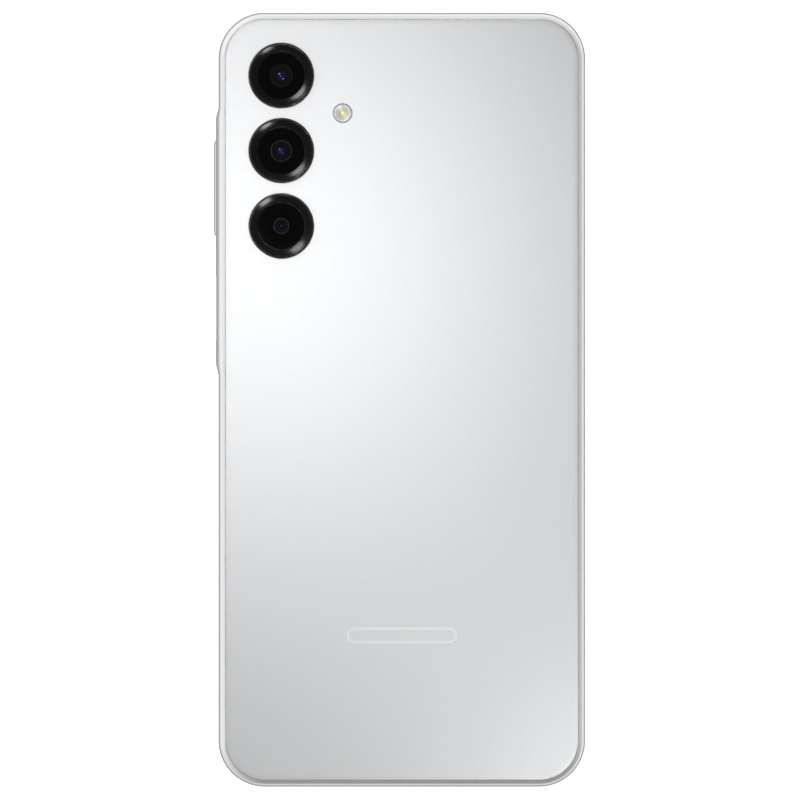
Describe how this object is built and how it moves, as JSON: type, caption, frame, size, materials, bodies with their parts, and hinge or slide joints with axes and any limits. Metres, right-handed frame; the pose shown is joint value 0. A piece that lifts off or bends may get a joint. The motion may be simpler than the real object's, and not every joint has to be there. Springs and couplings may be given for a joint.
{
  "type": "smartphone",
  "caption": "Slim flat-sided touchscreen smartphone with round rear camera windows, side key island, card tray and charging port, complete with its inner parts.",
  "frame": {"origin": "centre of the front glass's outer face, on which the phone lies", "axes": "+Z out of the rear cover, +Y towards the top edge, side keys on the -X side"},
  "size_m": [0.0788, 0.1644, 0.0091],
  "materials": {
    "front_glass": "polished black-printed",
    "display": "dark, unlit",
    "adhesive": "matte",
    "frame_paint": "pearl silver paint, satin",
    "cover_silver": "pearl silver, glossy",
    "key_paint": "pearl silver, satin",
    "ring_black": "black anodised, diamond-cut bevel",
    "window_glass": "polished, black-printed edge",
    "lens_glass": "polished, coated",
    "flash_plastic": "clear, fine rings",
    "led": "phosphor",
    "magnesium": "die-cast, matte",
    "board_green": "solder mask",
    "chip_black": "moulded",
    "shield_steel": "tinned",
    "bracket_plastic": "moulded, antenna traces",
    "screw_steel": "zinc plated",
    "flex_film": "polyimide",
    "battery_foil": "film-wrapped pouch",
    "copper": "copper",
    "gold": "gold plated",
    "cable_jacket": "satin",
    "spring_steel": "stamped",
    "tongue_plastic": "moulded",
    "speaker_plastic": "moulded",
    "magnet_steel": "nickel plated",
    "membrane": "thin film",
    "mesh_cloth": "fine woven",
    "tray_paint": "pearl silver paint, satin",
    "seal_rubber": "matte",
    "sensor_film": "satin coated",
    "camera_black": "moulded"
  },
  "bodies": {
    "phone": {"cover_glass": "front_glass", "display_panel": "display", "display_flex": "flex_film", "adhesive_beads": "adhesive", "side_frame": "frame_paint", "mid_plate": "magnesium", "rear_cover": "cover_silver", "main_camera_ring": "ring_black", "ultrawide_camera_ring": "ring_black", "macro_camera_ring": "ring_black", "camera_windows": "window_glass", "flash_lens": "flash_plastic", "flash_led": "led", "main_camera_housing": "camera_black", "ultrawide_camera_module": "camera_black", "macro_camera_module": "camera_black", "front_camera_module": "camera_black", "fixed_camera_lenses": "lens_glass", "camera_flexes": "flex_film", "earpiece_case": "shield_steel", "acoustic_meshes": "mesh_cloth", "main_board": "board_green", "shield_cans": "shield_steel", "board_chips": "chip_black", "sub_board": "board_green", "microphones": "gold", "upper_bracket": "bracket_plastic", "lower_bracket": "bracket_plastic", "bracket_screws": "screw_steel", "nfc_coil": "copper", "battery_cell": "battery_foil", "battery_flex": "flex_film", "main_flex": "flex_film", "antenna_coax": "cable_jacket", "usb_c_shell": "shield_steel", "usb_c_tongue": "tongue_plastic", "usb_c_contacts": "gold", "speaker_box": "speaker_plastic", "speaker_lid": "speaker_plastic", "speaker_magnet": "magnet_steel", "vibration_motor_case": "shield_steel", "vibration_motor_base": "shield_steel", "sim_socket": "spring_steel", "sim_contacts": "gold", "side_key_flex": "flex_film", "side_key_bracket": "spring_steel"},
    "volume_rocker": {"volume_key": "key_paint"},
    "power_button": {"power_key": "key_paint", "fingerprint_sensor": "sensor_film"},
    "autofocus_barrel": {"main_camera_barrel": "camera_black", "main_camera_lens": "lens_glass"},
    "loudspeaker_cone": {"speaker_coil": "copper", "speaker_diaphragm": "membrane"},
    "earpiece_cone": {"earpiece_diaphragm": "membrane"},
    "buzzer_rotor": {"vibration_motor_rotor": "magnet_steel"},
    "eject_rod": {"sim_eject_rod": "spring_steel"},
    "eject_lever": {"sim_eject_lever": "spring_steel"},
    "eject_pusher": {"sim_eject_pusher": "spring_steel"},
    "tray": {"sim_tray": "tray_paint", "sim_tray_gasket": "seal_rubber"}
  },
  "joints": [
    {"name": "volume_rock", "type": "hinge", "parent": "phone", "child": "volume_rocker", "pos_m": [-0.03625, 0.04495, 0.00415], "axis": [0, 0, 1], "range_deg": [-1, 1], "stiffness_Nm_per_rad": 0.02},
    {"name": "power_press", "type": "slide", "parent": "phone", "child": "power_button", "axis": [1, 0, 0], "range_m": [0, 0.0002], "stiffness_N_per_m": 300},
    {"name": "autofocus", "type": "slide", "parent": "phone", "child": "autofocus_barrel", "axis": [0, 0, 1], "range_m": [0, 0.0003], "stiffness_N_per_m": 60},
    {"name": "loudspeaker_stroke", "type": "slide", "parent": "phone", "child": "loudspeaker_cone", "axis": [0, 0, 1], "range_m": [-0.0003, 0.0003], "stiffness_N_per_m": 200},
    {"name": "earpiece_stroke", "type": "slide", "parent": "phone", "child": "earpiece_cone", "axis": [0, 0, 1], "range_m": [-0.00015, 0.00015], "stiffness_N_per_m": 200},
    {"name": "buzzer_spin", "type": "hinge", "parent": "phone", "child": "buzzer_rotor", "pos_m": [0.0276, -0.0696, 0.004], "axis": [0, 0, 1], "continuous": true},
    {"name": "eject_press", "type": "slide", "parent": "phone", "child": "eject_rod", "axis": [-1, 0, 0], "range_m": [0, 0.0012]},
    {"name": "eject_lever_turn", "type": "hinge", "parent": "phone", "child": "eject_lever", "pos_m": [0.0115, 0.0486, 0.0045], "axis": [0, 0, 1], "range_deg": [-18.2, 0]},
    {"name": "eject_push", "type": "slide", "parent": "phone", "child": "eject_pusher", "axis": [1, 0, 0], "range_m": [0, 0.0012]},
    {"name": "tray_slide", "type": "slide", "parent": "eject_pusher", "child": "tray", "axis": [1, 0, 0], "range_m": [0, 0.03]}
  ],
  "couplings": [
    {"joint": "eject_lever_turn", "follows": "eject_press", "rad_per_m": -263.16},
    {"joint": "eject_push", "follows": "eject_press", "ratio": 1}
  ]
}
